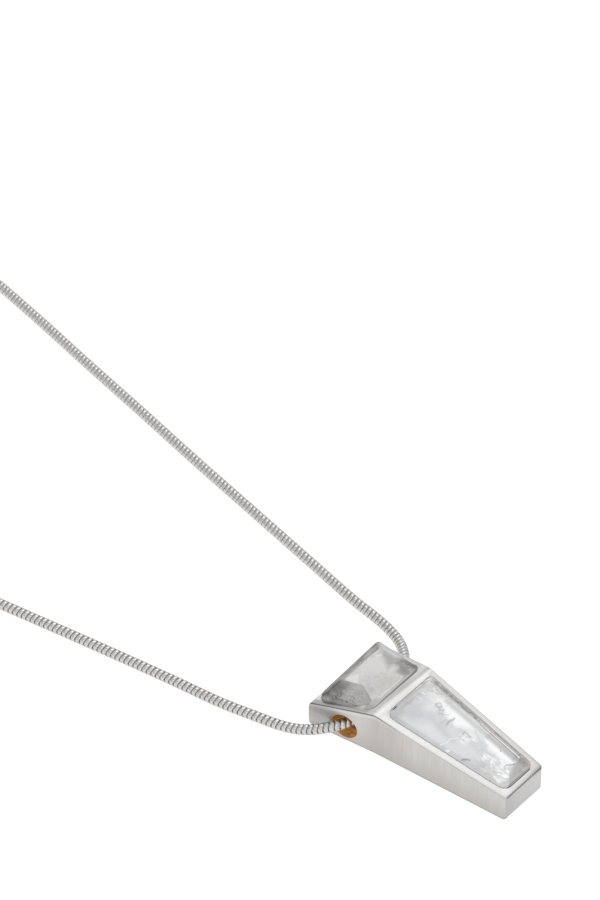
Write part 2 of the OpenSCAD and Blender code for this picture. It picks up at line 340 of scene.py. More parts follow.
def chainGap(s):
    # the dark slope between two bands
    made, start, shader = startMaterial("chainGap")
    place, x, y = objectPlace(start)[:3]
    far = step(x, *s["farAcross"]) * step(y, *s["farAlong"])
    patchy = step(noise(place, s["gapScale"]), *s["gapEdge"]) * s["gapTarnish"]
    plug(blend(patchy, blend(far, s["gap"], s["farGap"]), s["tarnish"]), shader, "Base Color")
    shader.inputs["Metallic"].default_value = 1.0
    uneven = noise(place, s["gapRoughnessScale"]) * s["gapRoughnessChange"]
    plug(s["gapRoughness"] + uneven, shader, "Roughness")
    return made


claspLook = {
    "metal": (0.58, 0.57, 0.555, 1), "dull": (0.49, 0.48, 0.47, 1),
    "ringScale": 6.0, "ringStretch": (1, 0.05, 0.05), "ringEdge": (0.35, 0.65),
    "roughness": 0.14, "ringRoughness": 0.1, "ringBump": 0.05, "bumpDepth": 0.02,
}


def claspMetal(s):
    made, start, shader = startMaterial("claspMetal")
    place = objectPlace(start)[0]
    rings = noise(place, s["ringScale"], stretch=s["ringStretch"])     # turning marks round the barrel
    plug(blend(step(rings, *s["ringEdge"]), s["dull"], s["metal"]), shader, "Base Color")
    shader.inputs["Metallic"].default_value = 1.0
    plug(s["roughness"] + rings * s["ringRoughness"], shader, "Roughness")
    plug(bumpOf(rings, s["ringBump"], s["bumpDepth"]), shader, "Normal")
    return made


def plainFinish(piece, material):
    piece.data.materials.clear()
    piece.data.materials.append(material)
    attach(piece, "root")


# in a copy of a CAD node, vertices this near are welded, and faces meeting at less than these degrees are
# merged and smoothed
copyLook = {"weld": 0.004 * mm, "flat": 1, "smooth": 22}


# a copy of a CAD node with its triangles merged and its sharp edges eased
def easedCopy(node, name, s):
    bpy.ops.object.select_all(action="DESELECT")
    piece = frame["nodes"][node].copy()
    piece.data = frame["nodes"][node].data.copy()
    piece.name = piece.data.name = name
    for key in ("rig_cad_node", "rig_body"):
        del piece[key]
    piece.parent = None
    bpy.context.scene.collection.objects.link(piece)
    piece.select_set(True)
    bpy.context.view_layer.objects.active = piece
    bpy.ops.object.mode_set(mode="EDIT")
    bpy.ops.mesh.select_all(action="SELECT")
    bpy.ops.mesh.remove_doubles(threshold=copyLook["weld"])
    bpy.ops.mesh.dissolve_limited(angle_limit=math.radians(copyLook["flat"]))
    bpy.ops.mesh.normals_make_consistent(inside=False)
    bpy.ops.object.mode_set(mode="OBJECT")
    easing = piece.modifiers.new("easing", "BEVEL")
    easing.width = s["edge"] * mm
    easing.segments = s["segments"]
    easing.limit_method = "ANGLE"
    easing.angle_limit = math.radians(s["sharp"])
    easing.use_clamp_overlap = True
    bpy.ops.object.modifier_apply(modifier=easing.name)
    bpy.ops.object.shade_smooth_by_angle(angle=math.radians(copyLook["smooth"]))
    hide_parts(node)
    return piece


bodyPiece = {"edge": 0.12, "segments": 3, "sharp": 30}      # edges over sharp degrees are eased by edge mm
body = easedCopy("pendant_body", "pendantBody", bodyPiece)
plainFinish(body, satinMetal(satinLook))
print("pendant body done")

toneLook = {"gamma": 2.2, "redDrop": 0.5, "greenDrop": 0.15, "blueRise": 0.7}


def tone(level, blue=0.0, s=toneLook):
    # a grey as it looks on screen, from 0 to 1, cooler with more blue and warmer with less
    red = level * (1 - s["redDrop"] * blue)
    green = level * (1 - s["greenDrop"] * abs(blue))
    last = level * (1 + s["blueRise"] * blue)
    return (*(part ** s["gamma"] for part in (red, green, last)), 1)


def reachAlong(place, way):
    # how far the place lies along a direction in the plan
    return place.node("VectorMath", {"operation": "DOT_PRODUCT"}, {0: place, 1: (*way, 0)}, output="Value")


# marks in a stone lie in its plan, in millimetres: how round and soft they are, and the grains in them
markShapes = {
    "patchRounding": 0.3, "hemRounding": 1.9, "hemSoft": (0.6, 1.4),
    "specks": {"scale": 2.0, "detail": 4.0, "stretch": (1, 1, 1), "rough": 0.75, "shows": (0.5, 0.64)},
    "grit": {"scale": 3.2, "detail": 2.0, "stretch": (1, 1, 1), "rough": 0.7, "shows": (0.58, 0.66)},
    "mottle": {"scale": 1.1, "detail": 4.0, "stretch": (1.5, 0.75, 1), "rough": 0.6, "shows": (0.42, 0.64)},
    "veins": {"scale": 0.8, "rough": 0.7, "width": 0.03, "breakScale": 1.1, "shows": (0.44, 0.56)},
}


def depthInside(plan, corners, rounding):
    # how far inside a convex outline, with its corners anticlockwise, the place lies
    depth = None
    for (ax, ay), (bx, by) in zip(corners, corners[1:] + corners[:1]):
        length = math.hypot(bx - ax, by - ay)
        inward = ((ay - by) / length, (bx - ax) / length)
        side = reachAlong(plan, inward) - (inward[0] * ax + inward[1] * ay)
        depth = side if depth is None else side.maths("SMOOTH_MIN", depth, side, rounding)
    return depth


def patch(plan, corners, soft):
    return step(depthInside(plan, corners, markShapes["patchRounding"]), -soft, soft)


def paintedSeamShade(plan, corners, width):
    # a painted shade line along the outline of the stone, for the seam round it
    start, end = markShapes["hemSoft"]
    return 1 - step(depthInside(plan, corners, markShapes["hemRounding"]), width * start, width * end)


def blob(plan, where, soft):
    # an ellipse: centre, half sizes and turn. A Mapping of kind TEXTURE makes it a circle of radius 1
    x, y, wide, long, turn = where
    circle = plan.node("Mapping", {"vector_type": "TEXTURE"}, {
        "Vector": plan, "Location": (x, y, 0), "Rotation": (0, 0, math.radians(turn)),
        "Scale": (wide, long, 1)})
    away = plan.node("VectorMath", {"operation": "LENGTH"}, {0: circle}, output="Value")
    return 1 - step(away, 1 - soft, 1 + soft)


def streak(plan, where, soft):
    # a straight line: both ends and its width
    ax, ay, bx, by, width = where
    length = math.hypot(bx - ax, by - ay)
    along = ((bx - ax) / length, (by - ay) / length)
    across = (-along[1], along[0])
    middle = ((ax + bx) / 2, (ay + by) / 2)
    sides = []
    for way, half in ((along, length / 2), (across, width / 2)):
        off = abs(reachAlong(plan, way) - (way[0] * middle[0] + way[1] * middle[1]))
        sides.append(1 - step(off, max(half - soft, 0), half + soft))
    return sides[0] * sides[1]


def ring(plan, where, soft):
    # a curved line: centre, radius and width
    x, y, radius, width = where
    away = plan.node("VectorMath", {"operation": "DISTANCE"}, {0: plan, 1: (x, y, 0)}, output="Value")
    return 1 - step(abs(away - radius), max(width / 2 - soft, 0), width / 2 + soft)


def scatter(plan, corners, soft, s):
    grains = noise(plan, s["scale"], s["detail"], s["stretch"], s["rough"])
    return patch(plan, corners, soft) * step(grains, *s["shows"])


def specks(plan, corners, soft):
    # grains inside a patch
    return scatter(plan, corners, soft, markShapes["specks"])


def grit(plan, corners, soft):
    # finer grains, further apart
    return scatter(plan, corners, soft, markShapes["grit"])


def mottle(plan, corners, soft):
    # soft flakes, longer along the stone
    return scatter(plan, corners, soft, markShapes["mottle"])


def veins(plan, corners, soft):
    # short hair cracks inside a patch, where two levels of a noise meet
    s = markShapes["veins"]
    crackle = abs(noise(plan, s["scale"], detail=4.0, rough=s["rough"]) - 0.5)
    broken = step(noise(plan, s["breakScale"], detail=1.0), *s["shows"])
    return patch(plan, corners, soft) * (1 - step(crackle, 0.0, s["width"])) * broken


# each mark: calm, wavering little, for a cut edge or a seam, and wild for a flaw or a painted patch of light
# or shade; then its kind, where it lies, how soft its edge is, grey level, how blue, strength. Many marks are
# painted light and shade: highlights, the shade in the seams and corners, and the dark view of a facet below
upperQuartz = {
    "levels": (0.77, 0.83, -0.02), "clear": 0.2,
    "marks": [
        ("wild", blob, (3.2, 15.4, 3.6, 2.6, 20), 0.6, 0.85, -0.01, 0.6),            # bright middle
        ("wild", blob, (0.6, 11.8, 1.5, 2.6, 10), 0.7, 0.765, -0.035, 0.8),
        ("wild", mottle, [(-3.0, 14.5), (-3.2, 10.2), (1.5, 10.0), (3.0, 13.5), (-0.5, 15.5)],
         0.6, 0.70, -0.015, 0.6),
        ("wild", specks, [(-3.0, 17.0), (-3.2, 10.2), (4.5, 10.0), (5.0, 14.5), (2, 18)],
         0.6, 0.74, -0.015, 0.35),
        ("calm", patch, [(-3.3, 17.9), (-2.3, 15.6), (-0.4, 17.0), (-2.4, 18.2)], 0.3, 0.90, 0.0, 0.7),
        ("calm", patch, [(-4.6, 18.15), (6.6, 18.35), (8.6, 19.6), (8.6, 21), (-4.6, 21)],
         0.12, 0.62, -0.01, 0.9),
        ("calm", patch, [(-4.6, 18.95), (7.2, 18.95), (8.6, 21), (-4.6, 21)], 0.15, 0.50, -0.01, 0.9),
        ("wild", blob, (5.0, 19.2, 1.3, 0.45, 0), 0.5, 0.72, 0.0, 0.8),
        ("wild", blob, (5.2, 18.7, 1.8, 0.5, 0), 0.6, 0.76, 0.0, 0.65),
        ("wild", blob, (7.0, 18.9, 0.9, 0.6, 30), 0.6, 0.64, 0.02, 0.7),
        ("wild", specks, [(-4.6, 18.3), (6.6, 18.5), (8.0, 20), (-4.6, 20)], 0.3, 0.40, -0.02, 0.45),
        ("wild", blob, (-1.2, 19.2, 0.8, 0.4, 0), 0.5, 0.38, 0.0, 0.7),
        # a painted highlight
        ("wild", streak, (4.9, 17.5, 6.0, 16.6, 0.3), 0.15, 0.96, 0.0, 0.8),
        ("wild", patch, [(3.6, 13.6), (6.7, 13.4), (7.2, 18.2), (6.0, 17.0)], 0.8, 0.56, -0.03, 0.8),
        ("wild", patch, [(4.4, 10.0), (6.7, 9.8), (6.9, 13.2), (5.4, 13.6), (4.8, 11.9)],
         0.6, 0.46, -0.05, 0.85),
        ("wild", specks, [(4.0, 9.6), (7.2, 9.4), (7.2, 13.4), (4.8, 13.0)], 0.4, 0.62, -0.04, 0.3),
        ("wild", blob, (4.6, 10.9, 0.9, 1.2, 0), 0.6, 0.46, -0.03, 0.8),
        ("calm", patch, [(6.72, 12.5), (9, 12.5), (9, 19.0), (8.0, 19.3), (7.12, 17.8)],
         0.1, 0.80, 0.025, 0.95),
        # painted shade, nearly black, in the far corner beside the ridge
        ("wild", blob, (6.6, 10.0, 0.6, 1.3, -8), 0.5, 0.12, -0.03, 0.9),
        ("wild", specks, [(5.6, 9.7), (7.2, 9.3), (7.2, 12.2), (6.2, 12.0)], 0.2, 0.85, -0.03, 0.6),
        # the dark wedge at the near top corner: the facet below as it looks through the table, painted with
        # its dark reflection, with flaws in it
        ("calm", patch, [(-9.6, 20.5), (-9.6, 15), (-5.6, 10.2), (-4.6, 10.4), (-2.9, 13.0), (-2.2, 14.5),
         (-3.8, 20.5)], 0.07, 0.60, -0.02, 0.95),
        ("calm", patch, [(-5.5, 12.0), (-4.65, 10.5), (-3.5, 12.6)], 0.12, 0.60, -0.02, 0.9),
        ("wild", blob, (-5.3, 18.5, 1.7, 2.2, 40), 0.7, 0.04, -0.05, 0.9),
        ("wild", blob, (-8.0, 17.8, 1.2, 2.2, 10), 0.5, 0.40, -0.02, 0.75),
        ("wild", blob, (-4.2, 13.9, 1.2, 0.7, 50), 0.6, 0.55, -0.01, 0.6),
        ("wild", streak, (-3.3, 12.6, -4.65, 10.5, 0.3), 0.15, 0.52, -0.03, 0.6),
        ("calm", patch, [(-9.8, 20.8), (-9.6, 17.4), (-7.6, 18.0), (-4.6, 18.8), (-4.4, 20.8)],
         0.25, 0.30, -0.02, 0.8),
        ("calm", mottle, [(-9.2, 19.8), (-8.8, 15), (-6.6, 10.8), (-5.6, 12.5), (-4.2, 19.6)],
         0.3, 0.34, -0.04, 0.6),
        ("wild", blob, (-8.6, 18.4, 0.8, 1.2, 30), 0.6, 0.68, -0.01, 0.9),
        ("wild", blob, (-4.6, 19.0, 1.2, 0.6, 0), 0.6, 0.05, -0.02, 0.85),
        ("wild", blob, (-6.5, 16.5, 0.9, 0.9, 0), 0.6, 0.28, -0.02, 0.8),
        ("wild", blob, (-3.2, 14.6, 0.8, 0.8, 0), 0.7, 0.70, -0.01, 0.6),
        ("calm", specks, [(-9.2, 19.0), (-8.8, 15), (-6.6, 10.8), (-3.6, 12.5), (-4.4, 16.4)],
         0.6, 0.84, 0.0, 0.45),
        ("wild", grit, [(-9.2, 20.0), (-8.8, 15), (-6.6, 10.8), (-3.2, 13.5), (-3.6, 19.4)],
         0.4, 0.26, -0.03, 0.55),
        ("wild", grit, [(-8.8, 17.0), (-8.4, 14.6), (-6.6, 11.2), (-4.4, 13.5), (-5.6, 16.0)],
         0.5, 0.96, 0.0, 0.45),
        # along the ridge side: painted shade in the seam behind the metal's edge, with a light line and
        # darker patches
        ("calm", patch, [(-6.8, 8.0), (7.6, 8.0), (7.2, 9.7), (-5.6, 9.7)], 0.06, 0.70, -0.02, 0.7),
        ("calm", streak, (4.3, 9.8, -3.0, 9.8, 0.13), 0.08, 0.92, 0.0, 0.7),
        ("wild", blob, (-6.0, 9.9, 1.0, 0.7, 0), 0.6, 0.55, -0.02, 0.75),
        ("wild", blob, (-4.4, 10.0, 0.8, 0.6, 0), 0.6, 0.62, -0.02, 0.6),
        ("wild", blob, (-2.4, 12.6, 0.7, 0.9, 0), 0.7, 0.66, -0.02, 0.6),
        ("wild", blob, (4.4, 9.7, 1.5, 0.3, 0), 0.6, 0.42, -0.03, 0.6),
        ("calm", patch, [(-6.6, 8.0), (7.6, 8.0), (7.6, 9.2), (3.0, 9.16), (-6.0, 9.12)],
         0.06, 0.34, -0.05, 0.85),
        # painted shade, nearly black, in the far corner beside the ridge
        ("wild", blob, (6.8, 10.4, 0.6, 1.0, -8), 0.6, 0.06, -0.03, 0.85),
        ("wild", blob, (6.85, 11.9, 0.45, 1.6, 8), 0.6, 0.30, -0.03, 0.6),
        ("wild", grit, [(5.4, 9.2), (7.3, 9.2), (7.3, 12.4), (5.8, 12.4)], 0.3, 0.90, -0.03, 0.5),
        # painted shade in the seam round the upper stone
        ("calm", paintedSeamShade, [(-10.03, 30), (-6.96, 9.0), (6.9, 9.0), (7.35, 11.8), (20, 30)],
         0.12, 0.56, -0.03, 0.6),
    ],
}
lowerQuartz = {
    "levels": (0.79, 0.85, 0.008), "clear": 0.1,
    "marks": [
        ("wild", blob, (-2.0, 2.2, 2.4, 2.2, 0), 0.7, 0.762, 0.03, 0.8),                 # bluish milk
        ("wild", blob, (-3.7, -2.6, 1.6, 3.6, 5), 0.7, 0.88, 0.01, 0.8),
        # painted shade: a darker bluish band
        ("wild", streak, (-0.8, 0.2, -2.5, -6.0, 1.1), 0.5, 0.785, 0.025, 0.7),
        ("wild", patch, [(-4.6, -7.0), (-4.0, -10.2), (-2.0, -12.3), (-0.6, -9.6), (-1.3, -6.9)],
         0.35, 0.86, 0.015, 0.8),
        # painted shade in a grey strip towards the far bevel
        ("calm", streak, (5.2, 2.0, 3.2, -16.6, 1.3), 0.5, 0.74, -0.01, 0.8),
        ("wild", patch, [(0.5, -4.4), (2.5, -8.3), (4.0, -8.1), (4.3, -3.0), (3.9, 1.2), (3.1, 3.3),
         (1.7, -0.3)], 0.6, 0.98, -0.003, 0.95),
        ("wild", patch, [(0.4, -16.3), (1.75, -17.35), (2.9, -14.5), (3.8, -9.5), (3.4, -7.3), (0.9, -12.2)],
         0.7, 1.0, 0.0, 0.9),
        ("wild", blob, (1.4, -7.9, 1.3, 1.5, 0), 0.7, 0.93, 0.0, 0.75),
        # painted shade beside the bevel, in these two streaks
        ("calm", streak, (3.85, 0.4, 3.0, -10.5, 1.1), 0.45, 0.765, 0.0, 0.9),        # grey beside the bevel
        ("calm", streak, (3.05, -9.8, 2.5, -17.0, 1.1), 0.45, 0.70, -0.01, 0.9),
        ("wild", blob, (0.9, 0.9, 2.0, 1.0, -24), 0.7, 0.90, 0.005, 0.65),
        ("wild", streak, (2.5, -7.7, 0.1, -11.4, 0.2), 0.2, 0.78, 0.0, 0.7),
        ("wild", streak, (0.1, -11.4, -1.6, -12.3, 0.2), 0.15, 0.74, 0.0, 0.7),
        # splinters and cracks
        ("wild", patch, [(0.8, 5.3), (1.6, 2.6), (4.4, 0.3), (6.0, 1.0), (6.4, 5.6)], 0.5, 0.77, -0.005, 0.8),
        ("wild", mottle, [(0.0, 5.3), (1.6, 2.6), (4.6, -0.5), (6.0, 1.0), (6.4, 5.6)], 0.3, 0.90, 0.0, 0.8),
        ("wild", blob, (2.8, 2.2, 0.9, 1.1, 0), 0.7, 0.92, 0.0, 0.6),
        ("wild", specks, [(2.4, 5.4), (3.4, 2.6), (5.8, -4.0), (6.4, 5.6)], 0.3, 0.54, -0.02, 0.4),
        ("wild", ring, (1.95, 0.35, 0.45, 0.2), 0.15, 0.64, 0.0, 0.6),
        ("wild", ring, (1.55, -0.5, 0.4, 0.2), 0.15, 0.66, 0.0, 0.6),
        ("wild", specks, [(0.8, 0.6), (1.4, -1.6), (2.8, -0.8), (2.6, 1.6)], 0.2, 0.60, 0.0, 0.4),
        ("wild", streak, (0.5, -0.8, 1.7, -2.1, 0.2), 0.15, 0.72, 0.0, 0.7),
        ("wild", streak, (-0.5, -3.3, 2.0, -3.4, 0.34), 0.3, 0.60, 0.0, 0.75),
        ("wild", streak, (-0.9, -2.3, 0.6, -2.7, 0.2), 0.15, 0.72, 0.0, 0.7),
        ("wild", streak, (-1.0, -6.8, 0.9, -6.6, 0.24), 0.18, 0.62, 0.0, 0.75),
        ("wild", streak, (0.8, -6.6, 0.6, -8.4, 0.34), 0.3, 0.66, 0.0, 0.6),
        ("wild", mottle, [(-2.0, -7.3), (-1.2, -9.2), (1.0, -9.6), (1.0, -7.0), (0.0, -6.2)],
         0.3, 0.97, 0.0, 0.7),
        ("wild", streak, (-4.9, -5.4, -1.3, -6.3, 0.2), 0.15, 0.95, 0.0, 0.7),
        ("wild", streak, (-1.3, -6.3, 0.0, -8.2, 0.2), 0.15, 0.95, 0.0, 0.6),
        ("wild", blob, (-4.55, -7.2, 0.5, 0.22, -60), 0.4, 1.0, 0.0, 0.9),
        ("wild", streak, (-4.5, -10.2, -3.3, -11.5, 0.26), 0.18, 0.50, -0.02, 0.75),
        ("calm", blob, (2.05, -13.8, 0.13, 0.13, 0), 0.4, 0.40, 0.0, 0.9),
        # the tip: white splinters, then a smooth smoky facet
        ("wild", patch, [(-4.6, -13.2), (-4.4, -19.6), (-2.2, -19.8), (0.3, -17.3), (0.4, -16.4),
         (-1.2, -12.6)], 0.4, 0.84, 0.0, 0.8),
        ("wild", mottle, [(-3.8, -12.4), (-3.6, -18.4), (-2.4, -19.6), (0.3, -17.3), (0.9, -16.0),
         (-0.6, -12.0)], 0.4, 1.0, 0.0, 0.95),
        ("wild", blob, (-2.8, -13.4, 1.1, 1.2, 0), 0.7, 0.71, -0.005, 0.7),
        ("wild", blob, (-2.8, -15.4, 0.9, 0.9, 0), 0.7, 0.75, 0.0, 0.65),
        ("wild", veins, [(-4.6, -13.2), (-4.2, -19.4), (-2.2, -19.6), (0.3, -17.3), (0.8, -15.0),
         (-1.2, -12.6)], 0.3, 0.62, 0.0, 0.3),
        ("calm", patch, [(-2.6, -19.5), (-2.6, -22), (5, -22), (5, -16.5), (3.4, -16.7), (1.5, -17.3),
         (0.15, -17.3)], 0.07, 0.74, -0.02, 0.95),
        ("wild", blob, (3.3, -17.6, 0.8, 1.3, 0), 0.7, 0.60, -0.05, 0.8),
        ("wild", mottle, [(-0.8, -18.6), (0.8, -19.4), (3.8, -19.2), (4.0, -17.4), (1.4, -17.6)],
         0.4, 0.64, -0.03, 0.5),
        ("wild", grit, [(1.8, -19.4), (4.0, -19.4), (4.2, -16.8), (2.4, -17.4)], 0.3, 0.38, -0.03, 0.5),
        # painted shade in the seam at the tip
        ("calm", streak, (-3.2, -19.66, 3.9, -19.66, 0.36), 0.1, 0.30, -0.08, 0.85),
        ("wild", specks, [(-0.6, -18.4), (0.8, -19.3), (4.0, -19.2), (4.2, -17.4), (1.4, -17.6)],
         0.3, 0.52, -0.02, 0.5),
        ("wild", streak, (-0.1, -16.3, 1.7, -17.3, 0.16), 0.1, 0.40, 0.0, 0.8),
        # bevels at the ridge and on the far side, with painted shade below the ridge bevel and near its
        # corners
        ("calm", patch, [(-4.6, 5.15), (3.0, 4.95), (6.0, 5.4), (7, 7), (-7, 7)], 0.08, 0.69, 0.02, 0.85),
        ("wild", blob, (-1.9, 4.6, 1.9, 0.4, -4), 0.7, 0.62, 0.0, 0.7),
        ("wild", blob, (1.0, 4.5, 1.3, 0.5, 0), 0.6, 0.70, 0.0, 0.55),
        ("wild", blob, (-4.4, 4.3, 1.3, 0.8, -15), 0.8, 0.68, 0.02, 0.7),
        ("wild", streak, (-4.6, 5.35, -3.3, 5.75, 0.4), 0.12, 0.0, 0.0, 0.95),
        ("calm", streak, (4.3, 5.85, 6.1, 5.25, 0.24), 0.1, 0.96, 0.0, 0.85),
        ("wild", streak, (1.8, 5.6, 3.5, 5.5, 0.26), 0.1, 0.92, 0.0, 0.7),
        ("calm", patch, [(3.45, -17.0), (5, -17.0), (7, 5.4), (5.3, 4.0), (4.35, -6.0)],
         0.2, 0.68, -0.02, 0.85),
        ("calm", streak, (5.75, 4.4, 4.75, -6.4, 0.5), 0.3, 0.56, -0.03, 0.7),
        ("wild", streak, (4.75, -8.0, 3.95, -16.6, 0.3), 0.2, 0.34, -0.04, 0.65),
        ("calm", specks, [(4.6, -9.0), (5.4, -9.0), (6.6, 5.4), (5.0, 5.0), (4.3, -4.0)],
         0.2, 0.86, 0.0, 0.7),
        ("calm", mottle, [(4.4, -9.0), (5.2, -9.0), (6.2, 5.4), (5.0, 5.0), (4.1, -4.0)],
         0.2, 0.44, -0.03, 0.5),
        ("calm", streak, (4.3, -7.4, 3.35, -16.9, 0.13), 0.12, 1.0, 0.0, 0.85),
        ("calm", streak, (4.08, -7.4, 3.12, -16.9, 0.2), 0.12, 0.46, -0.04, 0.7),
        ("calm", streak, (4.75, -7.0, 3.85, -16.4, 0.3), 0.15, 0.84, 0.0, 0.7),
        ("calm", blob, (3.3, -16.95, 0.16, 0.16, 0), 0.3, 1.0, 0.0, 0.9),
        # painted shade in the seam round the lower stone
        ("calm", paintedSeamShade, [(-6.167, 5.88), (-3.802, -19.68), (4.102, -19.68), (6.467, 5.88)],
         0.14, 0.82, -0.01, 0.5),
    ],
}


stoneFinish = {
    "calm": {"scale": 1.4, "reach": 0.12}, "wild": {"scale": 0.8, "reach": 1.0},     # how the marks waver
    "cloudScale": 0.5, "cloudDetail": 5.0, "cloudRough": 0.6, "cloudEdge": (0.3, 0.7),
    "warmth": 0.04,                   # dark marks are this much warmer
    "refraction": 1.54, "roughness": 0.03, "roughnessScale": 0.8, "roughnessChange": 0.04,
    "waveScale": 0.35, "waveBump": 0.15, "waveDepth": 0.3,
}


def waveringPlan(place, s):
    # the place in the stone's plan, shifted to and fro
    shift = place.node("VectorMath", {"operation": "SUBTRACT"}, {
        0: noise(place, s["scale"], detail=1.0, output="Color"), 1: (0.5, 0.5, 0.5)})
    reach = (s["reach"],) * 3
    shaken = place.node("VectorMath", {"operation": "MULTIPLY_ADD"}, {0: shift, 1: reach, 2: place})
    return place.node("VectorMath", {"operation": "MULTIPLY"}, {0: shaken, 1: (1, 1, 0)})


def quartz(name, look, s):
    made, start, shader = startMaterial(name)
    place = objectPlace(start)[0]
    plans = {mood: waveringPlan(place, s[mood]) for mood in ("calm", "wild")}
    low, high, blue = look["levels"]
    clouds = noise(place, s["cloudScale"], s["cloudDetail"], rough=s["cloudRough"])
    colour = blend(step(clouds, *s["cloudEdge"]), tone(low, blue), tone(high, blue))
    for mood, kind, where, soft, level, blue, strength in look["marks"]:
        mark = kind(plans[mood], where, soft)
        colour = blend(mark * strength, colour, tone(level, blue - s["warmth"] * (1 - level)))
    plug(colour, shader, "Base Color")
    shader.inputs["Transmission Weight"].default_value = look["clear"]
    shader.inputs["IOR"].default_value = s["refraction"]
    uneven = noise(place, s["roughnessScale"]) * s["roughnessChange"]
    plug(s["roughness"] + uneven, shader, "Roughness")
    plug(bumpOf(noise(place, s["waveScale"], detail=1.0), s["waveBump"], s["waveDepth"]), shader, "Normal")
    return made


stonePiece = {"edge": 0.08, "segments": 2, "sharp": 14}
for node, name, slot, look in (("upper_crystal", "upperCrystal", "clear_quartz", upperQuartz),
                               ("lower_crystal", "lowerCrystal", "milky_quartz", lowerQuartz)):
    stone = easedCopy(node, name, stonePiece)
    plainFinish(stone, quartz(name, look, stoneFinish))
    print(name, "done")

claspPiece = {"edge": 0.08, "segments": 2, "sharp": 30}
clasp = easedCopy("clasp", "barrelClasp", claspPiece)
plainFinish(clasp, claspMetal(claspLook))
print("clasp done")

# middle line of the chain in millimetres, from the clasp down the near strand and back
chainRoute = [
    (-1.5, 203.6, 1.6), (-4.5, 203.5, 1.6), (-9.5, 202.6, 1.5), (-15.8, 200.2, 1.25),
    (-25.4, 193.5, 1), (-32.2, 183.5, 1), (-35.8, 171.5, 1), (-36.7, 159, 1),
    (-35.5, 146, 1), (-33, 131, 1), (-30.4, 115.5, 1), (-27.6, 99.5, 1), (-24.6, 82, 1),
    (-21.5, 64, 1), (-18.6, 46, 1), (-16.8, 34, 1), (-15.4, 28, 1), (-14.3, 23.6, 1),
    (-13.3, 20.6, 1.3), (-12.1, 18, 1.95), (-10.6, 15.9, 2.7), (-8.7, 14.1, 3.3),
    (-6.2, 12.8, 3.5), (-3.2, 12.1, 3.5), (0, 11.9, 3.5), (3.2, 12.1, 3.5),
    (6.2, 12.8, 3.5), (8.7, 14.1, 3.3), (10.8, 15.5, 2.9), (12.6, 17.1, 2.4),
    (14.2, 18.9, 1.8), (15.6, 21, 1.25), (16.7, 23.8, 1), (17.4, 27, 1), (18.2, 33, 1),
    (20.6, 46, 1), (23.8, 63, 1), (27, 80, 1), (30.4, 97, 1), (33.9, 115, 1), (37.3, 132, 1),
    (39.9, 147, 1), (41.1, 159, 1), (40.3, 171.5, 1), (36.8, 183.5, 1), (29.8, 193.5, 1),
    (20.2, 200.2, 1.25), (13.9, 202.6, 1.5), (8.9, 203.5, 1.6), (5.9, 203.6, 1.6),
]

snakeChain = {
    "radius": 1.0 * mm,
    "pitch": 0.97 * mm,
    "sides": 16,
    "crown": 0.84,                    # share of the pitch that the crown of a band takes
    "valley": 0.84,                   # radius between two bands, as a share of the crown's
    "dimple": 0.82,                   # and at the tips, as a share of that
    "wave": 0.28,                     # how far the band swings to and fro along the chain, in pitches
    "notch": 0.22,                    # how far its tips are cut back, in pitches
    "nearTurn": -10.0, "farTurn": 52.0,   # degrees that the rows of tips are turned on each strand
    "turnSpans": 12,                  # spans of the route over which that changes, inside the bore
    "steps": 10,                      # curve points for each span of the route
    "atEnd": 0.9,                     # vertices past this share of a band's half length are at its end
    "slopeBelow": 0.95,               # faces that go under this share of the radius are slopes
    "weld": 0.002 * mm, "smooth": 75,
}


def routeDirection(points, i):
    last = len(points) - 1
    before = points[max(i, 1)] - points[max(i, 1) - 1]
    after = points[min(i, last - 1) + 1] - points[min(i, last - 1)]
    mixed = before.normalized() * after.length + after.normalized() * before.length
    return mixed / (before.length + after.length)


def addRouteCurve(route, s):
    points = [Vector(p) * mm for p in route]
    line = bpy.data.curves.new("chainRoute", "CURVE")
    line.dimensions, line.twist_mode, line.resolution_u = "3D", "Z_UP", s["steps"]
    spline = line.splines.new("BEZIER")
    spline.bezier_points.add(len(points) - 1)
    middle = len(points) // 2
    for i, (knot, p) in enumerate(zip(spline.bezier_points, points)):
        way = routeDirection(points, i)
        before = (p - points[i - 1]).length if i else (points[1] - p).length
        after = (points[i + 1] - p).length if i < len(points) - 1 else before
        knot.co, knot.handle_left, knot.handle_right = p, p - way * before / 3, p + way * after / 3
        share = min(max((i - middle + s["turnSpans"] / 2) / s["turnSpans"], 0), 1)
        knot.tilt = math.radians(s["nearTurn"] * (1 - share) + s["farTurn"] * share)
    made = bpy.data.objects.new("chainRoute", line)
    bpy.context.scene.collection.objects.link(made)
    return made, spline.calc_length()


def selectWhere(mesh, test):
    # selects the vertices whose place passes the test, in edit mode
    bpy.ops.mesh.select_all(action="DESELECT")
    bpy.ops.object.mode_set(mode="OBJECT")
    for v in mesh.vertices:
        v.select = bool(test(v.co))
    bpy.ops.object.mode_set(mode="EDIT")


def nearAngle(co, at, every, within=5):
    # whether the point lies at that angle round the X axis, or any whole step from it
    return (math.degrees(math.atan2(co.y, co.z)) - at + within) % every < 2 * within


